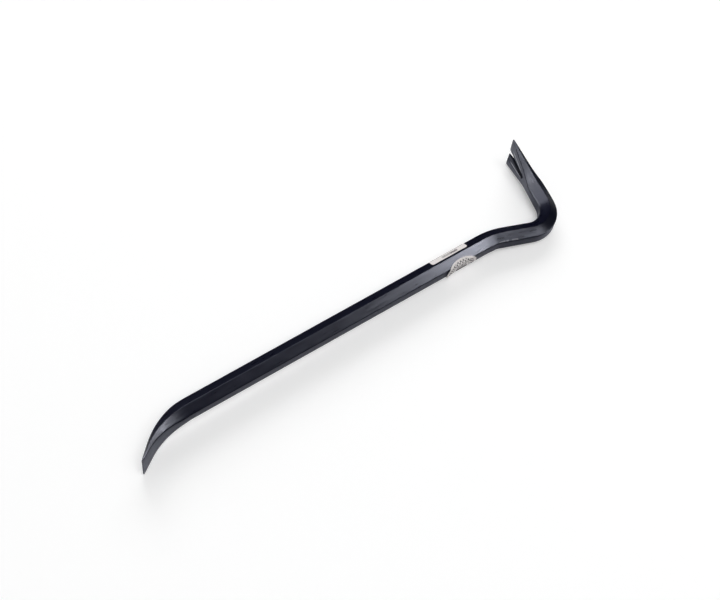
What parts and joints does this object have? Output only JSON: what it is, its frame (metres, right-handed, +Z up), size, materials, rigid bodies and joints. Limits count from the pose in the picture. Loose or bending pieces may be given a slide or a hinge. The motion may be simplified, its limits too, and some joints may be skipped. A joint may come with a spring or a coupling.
{
  "type": "crowbar",
  "caption": "Forged hexagonal bar in black paint, with a bevelled nail claw on its hooked end, a curved chisel on the other and paper labels on the shank",
  "frame": {"origin": "centre of the bounding box in plan, on the surface that the bar lies on", "axes": "+X along the shank toward the hook, +Y the way the claw points, +Z up; the bar lies at rest on its claw, its chisel and the outside of its hook, so the plane of its bends leans about 7 degrees"},
  "size_m": [0.4912, 0.108, 0.0415],
  "materials": {
    "black_paint": "gloss black paint over forged steel",
    "label_paper": "coated paper label"
  },
  "bodies": {
    "root": {"forged_bar": "black_paint", "plain_label": "label_paper", "oval_label": "label_paper"}
  },
  "joints": []
}
